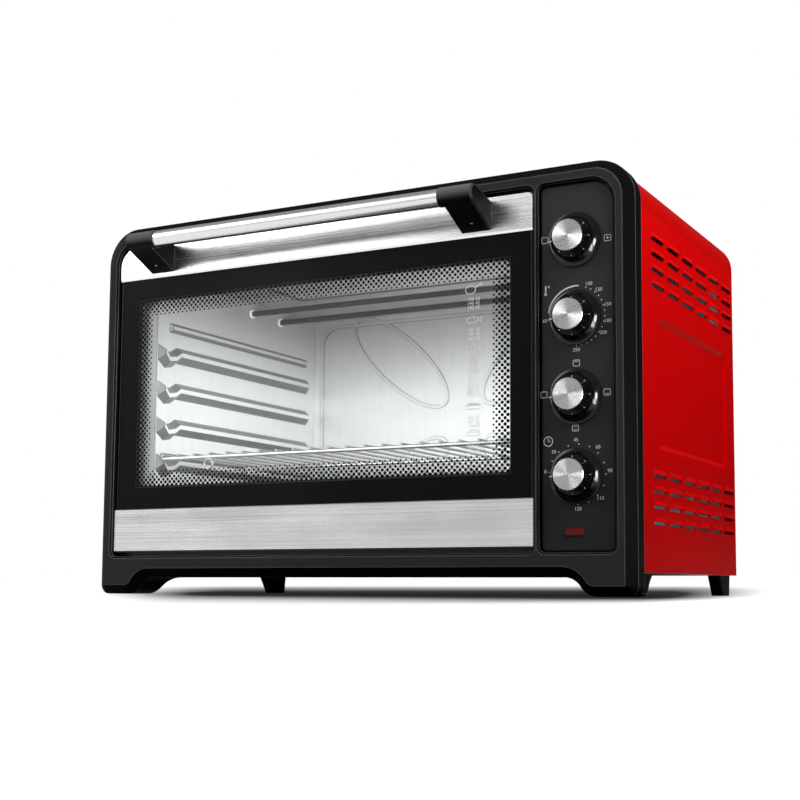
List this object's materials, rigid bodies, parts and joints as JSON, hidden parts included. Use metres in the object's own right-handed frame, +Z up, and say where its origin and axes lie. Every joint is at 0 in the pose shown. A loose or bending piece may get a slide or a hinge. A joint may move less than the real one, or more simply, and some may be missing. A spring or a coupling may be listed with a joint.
{
  "type": "countertop oven",
  "caption": "Countertop electric oven with a drop-down glass door, bar handle, side column of rotary knobs, wire rack and louvred shell.",
  "frame": {"origin": "centre of the footprint, on the counter under the feet", "axes": "+X to the right of someone facing the door, -Y out of the front of the door, +Z up"},
  "size_m": [0.596, 0.377, 0.3885],
  "materials": {
    "frame_plastic": "fine matt moulded grain",
    "panel_plastic": "satin, slightly darker towards the bottom",
    "red_paint": "smooth semi-gloss paint",
    "galvanised": "plain galvanised sheet",
    "cavity_steel": "aluminised sheet",
    "heater_steel": "dull heated steel",
    "ceramic": "unglazed ceramic",
    "wire_chrome": "plated wire",
    "door_glass": "clear tempered glass with a black printed border",
    "stainless": "brushed along its length",
    "door_steel": "black enamel",
    "gasket": "matt",
    "handle_chrome": "polished",
    "handle_black": "satin black moulding",
    "screw_steel": "plated",
    "knob_black": "gloss black",
    "cap_silver": "spun, with radial sheen",
    "shaft_steel": "turned",
    "switch_plastic": "moulded phenolic",
    "timer_case": "plated",
    "lens_red": "clear red moulding",
    "lamp_glass": "small neon lamp"
  },
  "bodies": {
    "oven_body": {"front_frame": "frame_plastic", "rear_foot_left": "frame_plastic", "rear_foot_right": "frame_plastic", "control_panel": "panel_plastic", "shell_wrap": "red_paint", "rear_cover": "galvanised", "base_pan": "galvanised", "cavity_left_wall": "cavity_steel", "cavity_right_wall": "cavity_steel", "cavity_ceiling": "cavity_steel", "cavity_floor": "cavity_steel", "cavity_back": "cavity_steel", "cavity_front": "cavity_steel", "fan_housing": "cavity_steel", "upper_heater_front": "heater_steel", "upper_heater_rear": "heater_steel", "lower_heater_front": "heater_steel", "lower_heater_rear": "heater_steel", "heater_bushings": "ceramic", "hinge_pin_left": "door_steel", "hinge_pin_right": "door_steel", "cover_screws": "screw_steel", "foot_screws": "screw_steel", "convection_switch": "switch_plastic", "thermostat": "switch_plastic", "heater_switch": "switch_plastic", "cord_inlet": "switch_plastic", "timer": "timer_case", "timer_bell": "timer_case", "fan_motor": "timer_case", "pilot_lens": "lens_red", "pilot_lamp": "lamp_glass"},
    "door": {"door_glass": "door_glass", "door_top_trim": "stainless", "door_bottom_trim": "stainless", "glass_gasket_top": "gasket", "glass_gasket_bottom": "gasket", "door_inner_frame": "door_steel", "door_stay_left": "door_steel", "door_stay_right": "door_steel", "handle_tube": "handle_chrome", "handle_bracket_left": "handle_black", "handle_bracket_right": "handle_black", "handle_screws": "screw_steel"},
    "rack": {"wire_rack": "wire_chrome"},
    "fan": {"fan_wheel": "wire_chrome"},
    "convection_control": {"convection_knob": "knob_black", "convection_cap": "cap_silver", "convection_shaft": "shaft_steel"},
    "temperature_control": {"temperature_knob": "knob_black", "temperature_cap": "cap_silver", "temperature_shaft": "shaft_steel"},
    "heater_control": {"heater_knob": "knob_black", "heater_cap": "cap_silver", "heater_shaft": "shaft_steel"},
    "timer_control": {"timer_knob": "knob_black", "timer_cap": "cap_silver", "timer_shaft": "shaft_steel"}
  },
  "joints": [
    {"name": "door_hinge", "type": "hinge", "parent": "oven_body", "child": "door", "pos_m": [-0.03775, -0.13945, 0.0482], "axis": [1, 0, 0], "range_deg": [0, 85]},
    {"name": "rack_slide", "type": "slide", "parent": "oven_body", "child": "rack", "axis": [0, -1, 0], "range_m": [0, 0.1115]},
    {"name": "fan_spin", "type": "hinge", "parent": "oven_body", "child": "fan", "pos_m": [0.2015, 0.01905, 0.204], "axis": [1, 0, 0], "continuous": true},
    {"name": "convection_turn", "type": "hinge", "parent": "oven_body", "child": "convection_control", "pos_m": [0.2425, -0.14345, 0.31762], "axis": [0, 1, 0], "range_deg": [0, 180]},
    {"name": "temperature_turn", "type": "hinge", "parent": "oven_body", "child": "temperature_control", "pos_m": [0.2425, -0.14345, 0.24701], "axis": [0, 1, 0], "range_deg": [0, 270]},
    {"name": "heater_turn", "type": "hinge", "parent": "oven_body", "child": "heater_control", "pos_m": [0.2425, -0.14345, 0.1764], "axis": [0, 1, 0], "range_deg": [0, 270]},
    {"name": "timer_turn", "type": "hinge", "parent": "oven_body", "child": "timer_control", "pos_m": [0.2425, -0.14345, 0.10579], "axis": [0, 1, 0], "range_deg": [0, 270]}
  ],
  "couplings": [
    {"joint": "rack_slide", "follows": "door_hinge", "m_per_rad": 0.075}
  ]
}
